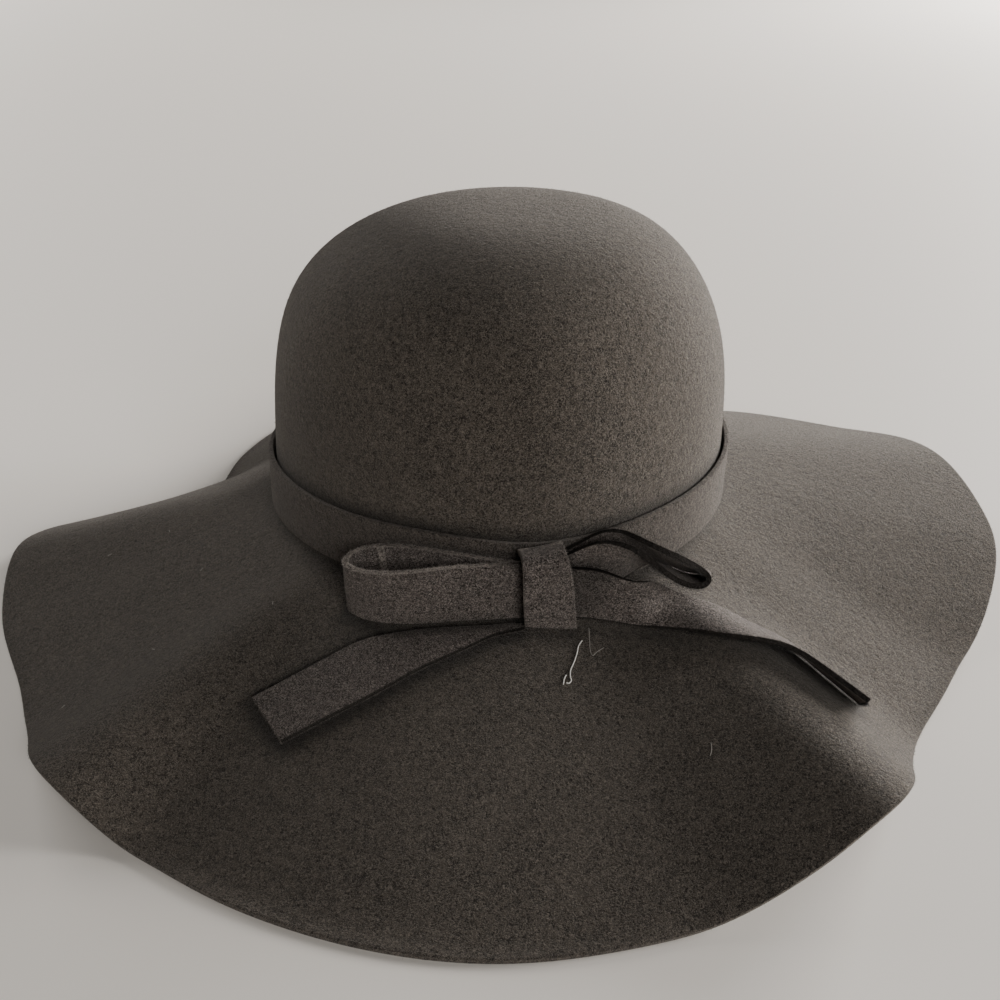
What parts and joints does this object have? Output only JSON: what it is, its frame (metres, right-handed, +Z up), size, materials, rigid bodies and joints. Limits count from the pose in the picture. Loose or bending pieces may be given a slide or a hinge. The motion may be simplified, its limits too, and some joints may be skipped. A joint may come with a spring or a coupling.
{
  "type": "floppy hat",
  "caption": "Soft charcoal felt floppy hat with a domed crown, a wide waved brim, a felt band and a flat felt bow.",
  "frame": {"origin": "on the resting plane, under the middle of the hat's bounding box", "axes": "+Z up through the crown, -Y towards the front of the hat where the bow is, +X to the right as seen from the front"},
  "size_m": [0.4356, 0.4326, 0.1664],
  "materials": {
    "hat_felt": "matt wool felt with a short nap",
    "trim_felt": "matt wool felt strip with cut edges"
  },
  "bodies": {
    "root": {"felt_body": "hat_felt", "hat_band": "trim_felt", "bow_loop_left": "trim_felt", "bow_loop_right": "trim_felt", "bow_tail_left": "trim_felt", "bow_tail_right": "trim_felt", "bow_knot": "trim_felt"}
  },
  "joints": []
}
